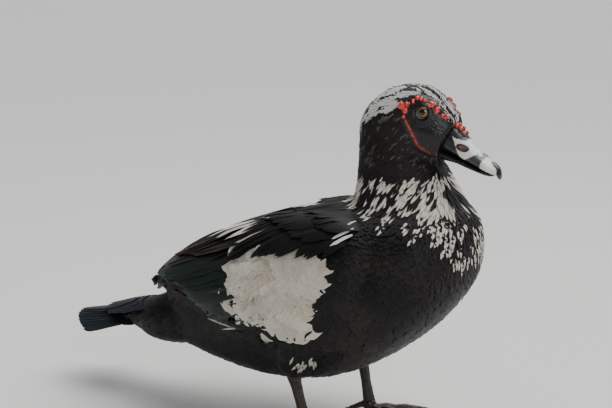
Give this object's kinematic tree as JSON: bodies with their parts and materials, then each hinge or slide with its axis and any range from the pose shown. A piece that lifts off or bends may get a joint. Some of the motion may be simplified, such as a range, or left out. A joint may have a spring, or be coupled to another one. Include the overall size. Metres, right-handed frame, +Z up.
{
  "type": "muscovy duck model",
  "caption": "Life-size muscovy duck standing at rest on webbed feet, with folded pied wings, a closed tail, a beaded bare face and a banded bill.",
  "frame": {"origin": "on the ground under the middle of the bird's outer box", "axes": "+X forwards to the bill, +Y to the bird's left, +Z up"},
  "size_m": [0.4766, 0.1872, 0.3331],
  "materials": {
    "black_plumage": "close black body feathers with a faint brown and purple sheen",
    "pied_plumage": "white crown and streaked white neck feathers over black",
    "wing_plumage": "green-glossed black flight feathers with a cream patch of coverts",
    "tail_plumage": "blue-black tail feathers with a green gloss",
    "face_skin": "black wrinkled bare skin edged with glossy coral-red beads",
    "eye": "wet orange-brown iris round a black pupil",
    "bill_horn": "white horn crossed by a grey-black band",
    "dark_horn": "black polished horn of the nail, the lower bill and the claws",
    "leg_skin": "dark brown scaled skin with paler scale edges"
  },
  "bodies": {
    "root": {"torso": "black_plumage", "thigh_left": "black_plumage", "thigh_right": "black_plumage", "neck": "pied_plumage", "head": "pied_plumage", "mask_left": "face_skin", "mask_right": "face_skin", "eye_left": "eye", "eye_right": "eye", "bill_upper": "bill_horn", "bill_lower": "dark_horn", "bill_nail": "dark_horn", "wing_left": "wing_plumage", "wing_right": "wing_plumage", "tail": "tail_plumage", "shank_left": "leg_skin", "shank_right": "leg_skin", "foot_left": "leg_skin", "foot_right": "leg_skin", "claw_left_middle": "dark_horn", "claw_left_inner": "dark_horn", "claw_left_outer": "dark_horn", "claw_left_hind": "dark_horn", "claw_right_middle": "dark_horn", "claw_right_inner": "dark_horn", "claw_right_outer": "dark_horn", "claw_right_hind": "dark_horn"}
  },
  "joints": []
}
